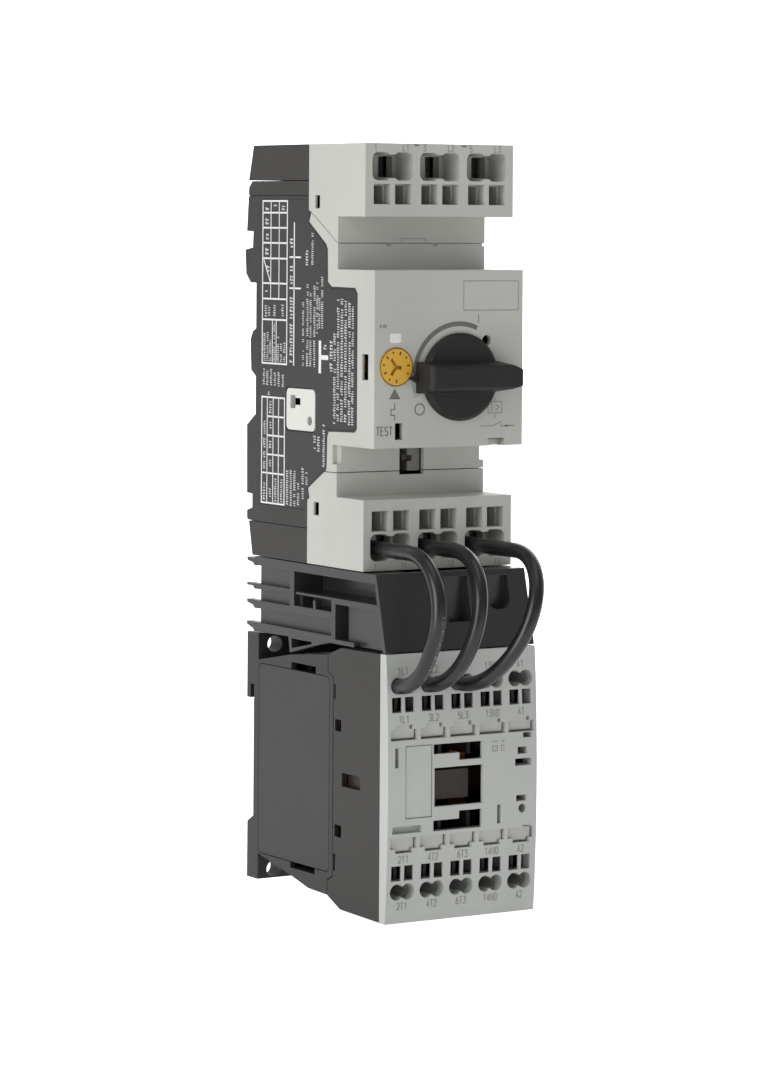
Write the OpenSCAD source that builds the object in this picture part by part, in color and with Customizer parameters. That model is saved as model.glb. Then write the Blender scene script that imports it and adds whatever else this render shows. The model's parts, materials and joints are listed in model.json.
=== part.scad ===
// Magnetic motor starter: a rotary motor-protective switch on a 35 mm rail, a connector
// block below it, and a contactor wired to it with three insulated links.
// Lengths are in millimetres. X runs across the front, +Z is up, and the front faces -Y.
// The origin is the centre of the rail seat. Depths (d) are measured forward from that seat.

/* [Overall] */
// Width of every housing
unit_w = 45; // [44.8:0.1:45.4]
// Wall thickness of the moulded housings
wall = 1.6; // [1.4:0.1:1.8]
// Gap left at the seams between separate housings
seam = 0.2; // [0.1:0.05:0.3]

/* [Protective switch] */
// Height of the top edge above the rail centre
switch_top = 54.2; // [54:0.1:54.6]
// Height of the bottom edge, below the rail centre
switch_bottom = -55.0; // [-55.1:0.1:-54.8]
// Depth of the operating cap's face
cap_d = 60.6; // [60.4:0.1:61]
// Depth of the terminal block faces
term_d = 55.7; // [55.5:0.1:56.2]
// Depth of the two recess faces between cap and terminals
recess_d = 42.3; // [42:0.1:42.6]
// Distance between neighbouring poles
pole_pitch = 14.3; // [14.2:0.05:14.4]
// Radius of the rotary handle's disc
handle_r = 11.3; // [11:0.1:11.5]
// Depth of the handle's front face
handle_d = 68.0; // [67.5:0.1:69]

/* [Contactor] */
// Height of the contactor's centre line
con_z = -109; // [-109.1:0.05:-108.9]
// Height of the front cover
con_h = 68; // [67.8:0.1:68.2]
// Depth of the cover's edge
con_d = 67.2; // [67:0.1:67.4]
// How far the cover bulges forward at mid height
con_crown = 1.3; // [1:0.1:1.6]
// Distance between neighbouring terminals
con_pitch = 8.85; // [8.8:0.05:8.9]
// Side-to-side distance between the fixing holes
hole_dx = 35; // [34.8:0.1:35.2]
// Vertical distance between the fixing holes
hole_dz = 60; // [59.8:0.1:60.2]
// Radius of the fixing holes
hole_r = 2.25; // [2.1:0.05:2.4]

/* [Links] */
// Radius of the insulated wires
wire_r = 1.95; // [1.8:0.05:1.97]
// Radius of the copper cores
core_r = 1.1; // [0.9:0.1:1.2]

/* [Motion] */
// Travel of the contactor's moving contacts
con_travel = 3.9; // [3.5:0.1:3.9]
// Travel of the switch's moving contacts
switch_travel = 3.9; // [3.5:0.1:3.9]

/* [Hidden] */
$fn = 48;

half_w = unit_w / 2;
in_w = half_w - wall;
// Housing seams, as heights
seam_up = 28.6;
seam_down = -30.5;
back_seam_up = 44.7;
back_seam_down = -45.8;
cap_z = [-23.5, 21.8];
line_z = 35.4;
load_z = -36.8;
// Rotary handle, setting dial and test slot on the cap
handle_x = 3.0;
handle_z = -5.6;
shaft_r = 3.94;
drive_r = 2.6;
dial_x = -16.1;
dial_z = -2.8;
dial_r = 4.9;
test_x = -15.1;
test_z = -19.2;
// Sideways push of the trip bar per unit of the test slider's travel
wedge = 0.6;
// Inside faces that carry the parts
back_d = 1.8;
pole_x = [for (i = [-1:1]) i * pole_pitch];
entry_dx = 2.9;
mouth = 8.6;
line_entry_z = 48.3;
load_entry_z = -49.05;
link_z = -49.4;
// The bends are a hair slimmer than the straights, which reach this far into them
lap = 0.15;
line_square_z = 41.2;
load_square_z = -42.3;
fixed_d = 10;
// Contactor
con_x = [for (i = [-2:2]) i * con_pitch];
lobe_dx = 1.6;
lobe_r = 2.05;
con_entry_dz = 26.0;
con_square_dz = 21.25;
con_tag_dz = 14.4;
core_x = 6;

// ---- Drawing helpers: every outline is drawn in (depth, height) or (across, height) ----

module block(x, d, z) {
  translate([x[0], -d[1], z[0]]) cube([x[1] - x[0], d[1] - d[0], z[1] - z[0]]);
}
// Extrudes a (depth, height) outline across the width
module slab(x) {
  translate([x[1], 0, 0]) rotate([90, 0, -90]) linear_extrude(x[1] - x[0]) children();
}
// Extrudes an (across, height) outline through the depth
module punch(d) {
  translate([0, -d[0], 0]) rotate([90, 0, 0]) linear_extrude(d[1] - d[0]) children();
}
// Extrudes an (across, depth) outline upwards
module lift(z) {
  translate([0, 0, z[0]]) mirror([0, 1, 0]) linear_extrude(z[1] - z[0]) children();
}
module rod(x, z, r, d) {
  translate([x, -d[0], z]) rotate([90, 0, 0]) cylinder(r = r, h = d[1] - d[0]);
}
module mirror_x() {
  children();
  mirror([1, 0, 0]) children();
}
module outline(points) {
  polygon(points);
}

function arc(c, r, a, b, n = 5) =
  [for (i = [0:n]) c + r * [cos(a + (b - a) * i / n), sin(a + (b - a) * i / n)]];
function round_rect(x, z, r) = concat(
  arc([x[1] - r, z[1] - r], r, 0, 90), arc([x[0] + r, z[1] - r], r, 90, 180),
  arc([x[0] + r, z[0] + r], r, 180, 270), arc([x[1] - r, z[0] + r], r, 270, 360));
function unit(v) = v / norm(v);
function left_of(v) = [-v[1], v[0]];
// Offsets of a polyline's corners, so that a strip keeps its thickness round each bend
function bend(p, i, t) =
  let (n = len(p), a = unit(p[max(i, 1)] - p[max(i, 1) - 1]),
       b = unit(p[min(i + 1, n - 1)] - p[min(i + 1, n - 1) - 1]),
       m = unit(left_of(a) + left_of(b)))
  m * t / 2 / (m * left_of(a));
function strip(p, t) = concat([for (i = [0:len(p) - 1]) p[i] + bend(p, i, t)],
  [for (i = [len(p) - 1:-1:0]) p[i] - bend(p, i, t)]);

// Coil spring standing on z = 0 round the z axis: level half turns that run a little past
// the ends of the slimmer leaning half turns between them
module half_turn(r, wire, over) {
  rotate([0, 0, -over]) rotate_extrude(angle = 180 + 2 * over, $fn = 24) translate([r, 0])
    circle(d = wire, $fn = 20);
}
module helix(r, wire, length, turns) {
  pitch = (length - wire) / turns;
  for (k = [0:turns]) translate([0, 0, wire / 2 + k * pitch]) {
    half_turn(r, wire, 1);
    if (k < turns) translate([0, 0, pitch / 2]) rotate([0, -atan2(pitch / 2, r), 0]) rotate([0, 0, 180])
      half_turn(norm([r, pitch / 2]), wire - 0.06, 0);
  }
}
module spring_d(x, z, d, r, wire, turns) {
  translate([x, -d[0], z]) rotate([90, 0, 0]) helix(r, wire, d[1] - d[0], turns);
}

// ---- Protective switch: outlines ----

// Back of the switch from top to bottom, with the rail seat between its two hooks
function switch_back() = [[-1.8, switch_top], [-4.3, 44.9], [-2.5, 44.6], [-4.2, 43.1],
  [-5.2, 31.4], [-1.7, 31.3], [-2.0, 27.0], [-6.0, 26.4], [-5.5, 20.0], [-3.0, 17.6],
  [0, 17.6], [0, 5.5], [-1.7, 4.7], [-3.0, 2.4], [-2.5, -5.7], [0, -7.3], [0, -17.6],
  [-0.4, -17.6], [-4.6, -20.4], [-4.4, -38.6], [-1.5, -38.7], [-1.5, -42.4], [-4.3, -43.2],
  [-4.3, -45.3], [-3.3, -45.9], [-1.3, switch_bottom]];
// Line where the dark back shells meet the light front shells, from bottom to top
function switch_split() = [[27.5, switch_bottom], [27.5, -38.4], [28.6, -38.0], [27.9, -35.4],
  [36.8, -30.3], [37.2, -29.6], [37.5, -21.4], [38.2, -20.2], [51.2, -19.8], [52.2, -18.8],
  [52.2, 15.8], [51.0, 17.2], [39.3, 17.3], [37.4, 18.5], [37.2, 27.0], [36.4, 28.3],
  [27.7, 34.0], [28.7, 36.4], [27.4, 37.1], [27.4, switch_top]];
module back_outline() outline(concat(switch_back(), switch_split()));
module front_outline() {
  difference() {
    outline([[20, switch_top], [term_d, switch_top], [term_d, line_z], [recess_d, line_z],
      [recess_d, cap_z[1]], [cap_d, cap_z[1]], [cap_d, cap_z[0]], [recess_d, cap_z[0]],
      [recess_d, load_z], [term_d, load_z], [term_d, switch_bottom], [20, switch_bottom]]);
    back_outline();
  }
}
module band(z) {
  translate([-20, z[0]]) square([120, z[1] - z[0]]);
}
module switch_hollow() {
  block([-in_w, in_w], [back_d, 80], [switch_bottom + wall, switch_top - wall]);
}
module latch_channel() {
  block([-7, 7], [-20, -1.0], [-70, -17.6]);
}

// ---- Protective switch: housings ----

module switch_base() {
  color([0.29, 0.285, 0.275]) difference() {
    union() {
      slab([-half_w, half_w]) intersection() {
        back_outline();
        band([back_seam_down, back_seam_up]);
      }
      // Lip of the fixed hook, behind the rail's upper edge
      block([-14, 14], [-3.0, -1.3], [16.0, 18.5]);
    }
    difference() {
      switch_hollow();
      for (s = [-1, 1]) block([s * pole_pitch / 2 - 0.6, s * pole_pitch / 2 + 0.6], [0, 13.5], [-44, 44]);
    }
    latch_channel();
    // The ribs between the rail's lips stop short of the middle, and the seat is relieved
    // a little beneath each hook
    block([-12, 12], [-10, 0], [-7.4, 5.6]);
    block([-14.2, 14.2], [-1.3, 0.15], [15.8, 17.6]);
    block([-7, 7], [-20, 0.15], [-17.6, -16.0]);
    slab([-half_w - 1, -half_w + 0.2]) label_outline(0.15);
    slab([-half_w - 1, -in_w + 1]) outline(round_rect([16.2, 31.3], [-20.8, -9.5], 1.6));
    for (s = [-1, 1]) block(s > 0 ? [half_w - 0.35, 30] : [-30, -half_w + 0.35], [-10, 27.6], [40.7, 41.0]);
  }
  // Post that the latch spring rests on
  color([0.29, 0.285, 0.275]) block([-2.2, 2.2], [-3.4, -0.9], [-35.4, -33.9]);
}
module line_terminal_back() {
  color([0.28, 0.275, 0.265]) difference() {
    slab([-half_w, half_w]) intersection() {
      back_outline();
      band([back_seam_up + seam, 80]);
    }
    switch_hollow();
  }
}
module load_terminal_back() {
  color([0.28, 0.275, 0.265]) difference() {
    slab([-half_w, half_w]) intersection() {
      back_outline();
      band([-80, back_seam_down - seam]);
    }
    switch_hollow();
    latch_channel();
  }
}
// Seam between the line terminal block and the cover: level in front, slanting up behind
function front_seam(gap) = [[20, 36.6 - gap], [28.7, 36.6 - gap], [recess_d, seam_up - gap],
  [80, seam_up - gap]];
module front_slab() {
  slab([-half_w, half_w]) intersection() {
    front_outline();
    children();
  }
}
module switch_cover() {
  color([0.70, 0.71, 0.68]) difference() {
    front_slab() outline(concat(front_seam(seam), [[80, seam_down], [20, seam_down]]));
    block([-in_w, in_w], [20, recess_d - wall], [-60, 60]);
    block([-in_w, in_w], [20, cap_d - wall], [cap_z[0] + wall, cap_z[1] - wall]);
    rod(handle_x, handle_z, shaft_r + 0.06, [50, 70]);
    rod(dial_x, dial_z, dial_r + 0.06, [50, 70]);
    rod(11.4, 3.7, 1.35, [50, 70]);
    block([test_x - 1.15, test_x + 1.15], [50, 70], [test_z - 2.1, test_z + 2.1]);
    // Window of the auxiliary actuator in the lower recess
    block([-3.5, 4.0], [30, 50], [-40, -24.0]);
    // Corners of the lower recess step back
    for (s = [-1, 1]) block(s > 0 ? [21.2, 30] : [-30, -21.2], [40.2, 50], [-28.4, cap_z[0]]);
    for (x = [-7.2, 7.2]) block([x - 0.8, x + 0.8], [recess_d - 0.6, 50], [seam_up - 0.7, seam_up]);
    block([21.4, 30], [recess_d - 1.2, 50], [seam_up - 0.8, seam_up]);
    // Slot low on the cap's sides, and the finger notch in its lower edge
    block([-30, 30], [54.7, 57.6], [-6.2, 0.4]);
    mirror_x() block([in_w - 0.1, half_w - 0.7], [50.5, 57.6], [-6.2, 0.4]);
    punch([cap_d - 2.4, 70]) outline(arc([14.6, -21.6], 2.6, 180, 360, 12));
    // Frame of the marking field
    punch([cap_d - 0.15, 70]) difference() {
      outline(round_rect([4.2, 21.3], [11.4, 19.2], 0.3));
      outline(round_rect([4.45, 21.05], [11.65, 18.95], 0.2));
    }
  }
}
// Double wire opening of one pole, with a shallow waist at its middle
function pair_opening(x, z, w, h) =
  let (r = 1.7, a = [x - w / 2, x + w / 2], b = [z - h / 2, z + h / 2])
  concat(arc([a[1] - r, b[1] - r], r, 0, 90), [[x + 1.5, b[1]], [x + 0.8, b[1] - 0.6],
    [x - 0.8, b[1] - 0.6], [x - 1.5, b[1]]], arc([a[0] + r, b[1] - r], r, 90, 180),
    arc([a[0] + r, b[0] + r], r, 180, 270), [[x - 1.5, b[0]], [x - 0.8, b[0] + 0.6],
    [x + 0.8, b[0] + 0.6], [x + 1.5, b[0]]], arc([a[1] - r, b[0] + r], r, 270, 360));
module terminal_openings(entry_z, entry_h, square_z) {
  for (x = pole_x) {
    // One deep mouth leads to two wire holes
    punch([term_d - mouth, 70]) outline(pair_opening(x, entry_z, 12.2, entry_h));
    for (s = [-1, 1]) {
      block([x + s * entry_dx - 2.12, x + s * entry_dx + 2.12], [30, 70], [entry_z - 2.7, entry_z + 2.7]);
      // Release slots, each a little narrower further in
      block([x + s * 3.2 - 2.5, x + s * 3.2 + 2.5], [term_d - 3.3, 70], [square_z - 2.6, square_z + 2.6]);
      block([x + s * 3.2 - 2.5, x + s * 3.2 + 2.1], [term_d - 9, 70], [square_z - 2.6, square_z + 2.2]);
      block([x + s * 3.2 - 1.2, x + s * 3.2 + 1.2], [30, 70], [square_z - 1.0, square_z + 1.0]);
    }
  }
}
module line_terminal_block() {
  color([0.70, 0.71, 0.68]) difference() {
    front_slab() outline(concat(front_seam(0), [[80, 60], [20, 60]]));
    block([-in_w, in_w], [20, recess_d - wall], [20, line_z + wall + 0.1]);
    block([-in_w, in_w], [20, 44.2], [line_z + wall, switch_top - wall]);
    terminal_openings(line_entry_z, 7.2, line_square_z);
    for (x = [-7.2, 7.2]) block([x - 0.6, x + 0.6], [term_d - 0.4, 70], [switch_top - 0.6, 60]);
    block([-30, 30], [30.7, 33.0], [37.5, 40.9]);
    mirror_x() block([in_w - 1, half_w - 0.7], [28, 33.0], [37.5, 40.9]);
  }
}
module load_terminal_block() {
  color([0.70, 0.71, 0.68]) difference() {
    front_slab() band([-80, seam_down - seam]);
    block([-in_w, in_w], [20, recess_d - wall], [load_z - wall - 0.1, -20]);
    block([-in_w, in_w], [20, 44.2], [switch_bottom + wall, load_z - wall]);
    terminal_openings(load_entry_z, 6.9, load_square_z);
    block([-3.5, 4.0], [30, 50], [-31.6, -20]);
    block([-30, 30], [30.8, 33.4], [-42.2, -38.8]);
    mirror_x() block([in_w - 1, half_w - 0.7], [28.2, 33.4], [-42.2, -38.8]);
  }
}
module label_outline(grow = 0) {
  outline([[2.2 - grow, 39.8 + grow], [26.8 + grow, 39.8 + grow], [26.8 + grow, 37.2],
    [28.0 + grow, 36.3], [27.1 + grow, 33.8], [36.1 + grow, 27.9], [36.7 + grow, 26.8],
    [36.8 + grow, 18.3], [39.1, 16.7 + grow], [50.8, 16.7 + grow], [51.6 + grow, 15.6],
    [51.6 + grow, -18.6], [50.8, -19.2 - grow], [38.0, -19.6 - grow], [36.9 + grow, -21.2],
    [36.6 + grow, -29.4], [27.3 + grow, -34.9], [27.9 + grow, -37.6], [26.8 + grow, -38.4],
    [26.8 + grow, -41.0 - grow], [2.2 - grow, -41.0 - grow]]);
}
module side_label() {
  color([0.10, 0.10, 0.10]) slab([-half_w, -half_w + 0.18]) difference() {
    label_outline();
    outline(round_rect([16.0, 31.5], [-21.0, -9.3], 1.8));
  }
}
module side_port() {
  color([0.78, 0.78, 0.76]) slab([-half_w, -in_w]) difference() {
    outline(round_rect([16.4, 31.1], [-20.6, -9.7], 1.5));
    outline([[18.4, -14.9], [21.0, -14.9], [21.0, -14.0], [23.6, -14.0], [23.6, -12.2], [21.0, -12.2],
      [21.0, -11.5], [18.4, -11.5]]);
    translate([28.4, -17.9]) circle(r = 1.2);
  }
}

// ---- Protective switch: handle, dial and test slider ----

module rotary_handle() {
  grip_z = 4.0;
  grip_top = 2.9;
  left = handle_x - 13.2;
  right = handle_x + 15.3;
  color([0.13, 0.13, 0.13]) difference() {
    union() {
      rod(handle_x, handle_z, handle_r, [cap_d + 0.15, cap_d + 1.0]);
      translate([handle_x, -cap_d - 1.0, handle_z]) rotate([90, 0, 0])
        cylinder(r1 = handle_r, r2 = handle_r - 0.9, h = 0.9);
      intersection() {
        punch([cap_d + 0.3, handle_d]) translate([0, handle_z]) outline([[left, -grip_z],
          [handle_x + 9, -grip_z], [right, -2.1], [right, 1.8], [handle_x + 10.4, grip_z], [left, grip_z]]);
        slab([-30, 30]) translate([0, handle_z]) outline([[cap_d, -grip_z], [cap_d + 1.9, -grip_z],
          [handle_d - 0.5, -grip_top - 0.2], [handle_d, -grip_top + 0.4], [handle_d, grip_top - 0.4],
          [handle_d - 0.5, grip_top + 0.2], [cap_d + 1.9, grip_z], [cap_d, grip_z]]);
        lift([-40, 40]) outline(concat([[left, cap_d], [left + 0.3, cap_d + 3.4]],
          arc([left + 2.8, handle_d - 2.2], 2.2, 170, 90, 5), [[right - 0.6, handle_d],
          [right, handle_d - 0.6], [right, cap_d + 1.6], [right - 3.0, cap_d]]));
      }
      // Pointer that shows the switch position
      punch([cap_d + 0.3, cap_d + 1.8]) outline([[left - 2.2, handle_z - 0.3], [left + 1, handle_z - 1.9],
        [left + 1, handle_z + 1.9]]);
    }
    rod(handle_x, handle_z, shaft_r + 0.05, [cap_d - 5, cap_d + 1.7]);
    rod(handle_x, handle_z, drive_r + 0.05, [cap_d + 1.6, cap_d + 4.5]);
  }
}
module handle_shaft() {
  color([0.62, 0.63, 0.65]) {
    rod(handle_x, handle_z, shaft_r, [42.9, cap_d + 1.6]);
    rod(handle_x, handle_z, drive_r, [cap_d + 1.5, cap_d + 4.4]);
    rod(handle_x, handle_z, 6.2, [41.0, 43]);
    rod(handle_x - 4.2, handle_z, 1.0, [40.0, 41.1]);
  }
}
module setting_dial() {
  color([0.83, 0.60, 0.18]) difference() {
    rod(dial_x, dial_z, dial_r, [56.8, cap_d + 0.3]);
    // Driver slot with three arms
    for (a = [100, 215, 325]) translate([dial_x, -cap_d - 1, dial_z]) rotate([0, a, 0])
      translate([-0.45, 0, -0.1]) cube([0.9, 2.0, a < 110 ? 1.9 : 2.6]);
    rod(dial_x, dial_z, 2.1, [50, 58.4]);
  }
}
module dial_spindle() {
  color([0.83, 0.60, 0.18]) {
    rod(dial_x, dial_z, 2.0, [38, 58.3]);
    rod(dial_x + 1.0, dial_z, 3.6, [36.2, 38.1]);
  }
}
module test_slider() {
  color([0.20, 0.20, 0.20]) {
    block([test_x - 0.95, test_x + 0.95], [47, 57.8], [test_z - 1.9, test_z + 1.9]);
    block([test_x - 1.7, test_x + 1.7], [44, 47.1], [test_z - 1.9, test_z + 1.9]);
    // Stem with a wedge that pushes the trip bar sideways
    lift([test_z - 0.9, test_z + 0.9]) outline([[test_x - 0.7, 44.1], [test_x - 0.7, 26.6],
      [test_x + 0.7, 26.6 + 1.4 / wedge], [test_x + 0.7, 44.1]]);
  }
}

// ---- Protective switch: rail latch ----

module rail_latch() {
  color([0.20, 0.20, 0.20]) difference() {
    union() {
      block([-6.8, 6.8], [-3.9, -1.25], [-52.0, -18.0]);
      // Hook behind the rail's lower edge
      slab([-6.8, 6.8]) outline([[-3.9, -18.0], [-2.7, -16.2], [-1.25, -16.2], [-1.25, -18.0]]);
    }
    block([-3.2, 3.2], [-9, 0], [-38.4, -23.9]);
    block([-2.4, 2.4], [-9, 0], [-49.5, -47.8]);
  }
}
module latch_spring() {
  color([0.75, 0.75, 0.76]) translate([0, 2.5, -33.8]) helix(0.9, 0.35, 9.8, 7);
}

// ---- Protective switch: mechanism ----

pin_d = 34;
pin_z = -1;
module mechanism_frame() {
  color([0.70, 0.71, 0.73]) difference() {
    union() {
      for (x = [-9.2, 12.0]) slab([x, x + 1.2]) outline([[28.2, -14], [38.8, -11], [38.8, 4], [31, 12.6],
        [28.2, 12.6]]);
      block([-9.2, 13.2], [28.2, 29.4], [-14, -4]);
    }
    translate([-20, -pin_d, pin_z]) rotate([0, 90, 0]) cylinder(r = 1.22, h = 40);
  }
}
module toggle_pin() {
  color([0.75, 0.76, 0.78]) translate([-9.8, -pin_d, pin_z]) rotate([0, 90, 0]) cylinder(r = 1.2, h = 23.6);
}
module toggle_lever() {
  color([0.62, 0.56, 0.38]) slab([-4, 6]) difference() {
    union() {
      outline(strip([[pin_d + 4.8, pin_z - 2.5], [pin_d, pin_z], [28.2, 11.0], [26.0, 18.5]], 2.4));
      translate([pin_d, pin_z]) circle(r = 2.6);
    }
    translate([pin_d, pin_z]) circle(r = 1.25);
  }
}
module switch_carrier() {
  color([0.36, 0.24, 0.16]) difference() {
    union() {
      block([-20.2, 20.2], [19.0, 23.6], [15.4, 21.8]);
      for (x = pole_x) block([x - 3.9, x + 3.9], [17.6, 19.2], [15.4, 21.8]);
    }
    for (x = pole_x) rod(x, 18.6, 2.3, [10, 21.8]);
  }
}
module switch_bridges() {
  color([0.80, 0.50, 0.30]) for (x = pole_x) {
    block([x - 2.6, x + 2.6], [16.2, 17.4], [11.4, 25.8]);
    for (z = [13.2, 24.0]) rod(x, z, 1.3, [15.4, 16.3]);
  }
}
module switch_contact_springs() {
  color([0.75, 0.75, 0.76]) for (x = pole_x) spring_d(x, 18.6, [17.45, 21.7], 1.7, 0.4, 4);
}
// Arm that reports the switch position through the window in the lower recess
module aux_actuator() {
  color([0.50, 0.49, 0.47]) {
    block([15.4, 17.4], [23.7, 33.8], [17.0, 20.0]);
    block([15.4, 17.4], [31.2, 33.8], [-28.0, 17.1]);
    block([3.5, 15.5], [31.2, 33.8], [-28.0, -26.0]);
    // Notched head, seen in the window
    difference() {
      block([-0.15, 3.7], [31.2, 40.6], [-30.8, -24.5]);
      block([-1, 1.3], [38, 50], [-28.3, -26.7]);
    }
  }
}

// ---- Protective switch: current path, from the line terminals to the load terminals ----

module contact_tip(x, z) {
  rod(x, z, 1.4, [fixed_d + 0.5, fixed_d + 1.4]);
}
module line_conductors() {
  color([0.80, 0.50, 0.30]) for (x = pole_x) {
    slab([x - 3, x + 3]) outline(strip([[41.5, 51.9], [4.5, 51.9], [4.5, 34], [fixed_d, 30],
      [fixed_d, 22]], 1.0));
    contact_tip(x, 24.0);
  }
}
module coil_conductors() {
  color([0.80, 0.50, 0.30]) for (x = pole_x) {
    slab([x - 3, x + 3]) outline(strip([[fixed_d, 15.4], [fixed_d, 3.0], [5.2, 0.6]], 1.0));
    contact_tip(x, 13.2);
  }
}
module load_conductors() {
  color([0.80, 0.50, 0.30]) for (x = pole_x) slab([x - 3, x + 3])
    outline(strip([[41.5, -52.8], [4.5, -52.8], [4.5, -42.0], [12.6, -38.2]], 1.0));
}
module arc_plates() {
  color([0.55, 0.56, 0.58]) for (x = pole_x, i = [0:4], z = [[27.4, 33.2], [2.6, 9.6]])
    block([x - 5.2, x + 5.2], [13.8 + 2 * i, 14.6 + 2 * i], z);
}
module trip_coils() {
  color([0.72, 0.42, 0.24]) for (x = pole_x, i = [0:5]) translate([x, -7.6 - 2.1 * i, -7.4])
    rotate([90, 0, 0]) rotate_extrude() translate([3.6, 0]) circle(r = 0.95, $fn = 24);
}
module trip_plungers() {
  color([0.66, 0.67, 0.70]) for (x = pole_x) {
    rod(x, -7.4, 1.6, [4.0, 21.6]);
    rod(x, -7.4, 2.3, [20.4, 21.6]);
  }
}
module bimetal_strips() {
  color([0.70, 0.66, 0.55]) for (x = pole_x)
    block([x - 2.4, x + 2.4], [11.6, 12.3], [-37.3, -14.8]);
}
module heater_windings() {
  color([0.72, 0.62, 0.45]) for (x = pole_x, i = [0:4]) difference() {
    block([x - 3.3, x + 3.3], [10.7, 13.2], [-35.5 + 3.4 * i, -34.0 + 3.4 * i]);
    block([x - 2.6, x + 2.6], [11.4, 12.5], [-50, 0]);
  }
}
module trip_bar() {
  color([0.86, 0.80, 0.62]) union() {
    block([-20.6, 19.2], [24.7, 26.7], [-16.6, -9.6]);
    for (x = pole_x) block([x + 3.4, x + 4.6], [11.2, 24.8], [-16.6, -14.8]);
    // Tab that meets the test slider's wedge
    lift([test_z - 1.2, -14]) outline([[test_x - 0.55, 24.7], [test_x - 0.55, 26.6],
      [test_x + 1.2, 26.6 + 1.75 / wedge], [test_x + 2.4, 26.6 + 1.75 / wedge], [test_x + 2.4, 24.7]]);
  }
}
// Push-in clamp of one wire: a bent spring leaf that grips against the conductor
function clamp_leaf(z, up) = [for (q = [[41.9, 3.4], [41.9, -9.8], [33.0, -10.6], [31.6, -3.5],
  [40.2, 1.6]]) [q[0], z + up * q[1]]];
module clamps(z, up) {
  for (x = pole_x, s = [-1, 1]) slab([x + s * 3.1 - 2.3, x + s * 3.1 + 2.3])
    outline(strip(clamp_leaf(z, up), 0.5));
}
module line_clamps() {
  color([0.74, 0.75, 0.77]) clamps(47.6, 1);
}
module load_clamps() {
  color([0.74, 0.75, 0.77]) clamps(-48.6, -1);
}

// ---- Connector block ----

cb_top = switch_bottom - 0.3;
cb_bottom = -74.6;
function cb_front(z) = 62.0 + (cb_top - z) * 0.25;
module fin(z, d, thick) {
  mirror_x() slab([20.4, half_w]) outline([[-4.1, z], [d, z], [d, z - thick], [0, z - thick - 0.8],
    [-0.9, z - thick], [-3.9, z - min(thick, 0.9)]]);
}
module connector_block() {
  color([0.13, 0.13, 0.13]) difference() {
    union() {
      // Web between the side ribs, and the sloping front
      slab([-20.5, 20.5]) outline([[0, cb_top], [cb_front(cb_top), cb_top],
        [cb_front(cb_bottom), cb_bottom], [2, cb_bottom], [0, cb_bottom + 1]]);
      mirror_x() slab([20.4, half_w]) {
        outline([[0, cb_top], [cb_front(cb_top), cb_top], [cb_front(-57.6), -57.6], [0, -57.6]]);
        outline([[cb_front(cb_top) - 1.2, cb_top], [cb_front(cb_top), cb_top],
          [cb_front(cb_bottom), cb_bottom], [cb_front(cb_bottom) - 1.4, cb_bottom]]);
        outline([[18.7, -57], [20.9, -57], [20.9, -68.0], [18.7, -68.0]]);
        outline([[40.1, -62.9], [42.0, -62.9], [42.0, cb_bottom], [40.1, cb_bottom]]);
        outline([[22, -62.9], [40.2, -62.9], [40.2, -63.5], [22, -63.5]]);
        outline([[20.8, -66.6], [40.2, -66.6], [40.2, -67.3], [20.8, -67.3]]);
        outline([[41.9, -62.9], [cb_front(-62.9) - 0.5, -62.9], [cb_front(-64.4) - 0.5, -64.4],
          [41.9, -64.4]]);
        outline([[30.8, -64.4], [31.9, -64.4], [31.9, -67.0], [30.8, -67.0]]);
        outline([[40, -73.5], [51.4, -73.5], [51.4, cb_bottom], [40, cb_bottom]]);
      }
      fin(-55.7, 10, 1.3);
      fin(-62.5, 18.8, 0.7);
      fin(-66.9, 40.2, 1.4);
      fin(-72.8, 40.2, 1.7);
      // Triangular feet that stand on the contactor
      mirror_x() slab([20.4, half_w]) difference() {
        outline([[18.0, cb_bottom + 0.1], [18.9, -79.1], [31.2, -76.2], [39.5, cb_bottom + 0.1]]);
        outline([[19.6, cb_bottom - 0.7], [19.8, -77.9], [30.0, -75.9], [30.2, cb_bottom - 0.7]]);
      }
    }
    // Deep pockets in the sides
    mirror_x() block([17.6, 30], [20.9, cb_front(-60) - 1.4], [-62.9, -57.6]);
    mirror_x() block([13.4, 18], [20.9, 59.3], [-62.9, -57.6]);
    mirror_x() block([17, 20.6], [22, 40.1], [-66.6, -63.5]);
    mirror_x() block([17.4, 20.6], [42.0, 45.4], [-73.5, -64.4]);
    // Core that leaves a hollow shell, open at the top
    block([-12, 12], [3, 58.5], [-72.8, -50]);
    // Recesses in the front
    block([-2.6, 4.6], [60.6, 80], [-68.0, -56.6]);
    punch([60.6, 80]) outline(concat([[17.0, -56.9]], [[9.8, -56.9]],
      arc([12.8, -62.4], 3.0, 180, 270), arc([14.0, -62.4], 3.0, 270, 360)));
  }
}

// ---- Insulated links and their ferrules ----

// One link lies in a plane that holds the depth axis: it leaves the switch forwards, turns
// down round radius r1, runs back at angle phi and enters the contactor round radius r2.
module link(i, d1, r1, phi, r2) {
  top = [pole_x[i] - entry_dx, link_z];
  low = [con_x[i] - lobe_dx, con_z + con_entry_dz];
  drop = norm(top - low);
  run = (drop - r1 * (1 + sin(phi)) - r2 * (1 - sin(phi))) / cos(phi);
  d2 = d1 + (r1 - r2) * cos(phi) - run * sin(phi);
  translate([low[0], 0, low[1]]) rotate([0, atan2(top[0] - low[0], top[1] - low[1]), 0]) {
    rod(0, drop, wire_r, [46, d1 + lap]);
    turn(d1, drop - r1, r1, -phi, 90);
    translate([0, -d2 - r2 * cos(phi), r2 * (1 - sin(phi))]) rotate([phi, 0, 0])
      translate([0, 0, -lap]) cylinder(r = wire_r, h = run + 2 * lap);
    turn(d2, r2, r2, -90, -phi);
    rod(0, 0, wire_r, [57, d2 + lap]);
  }
}
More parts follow.
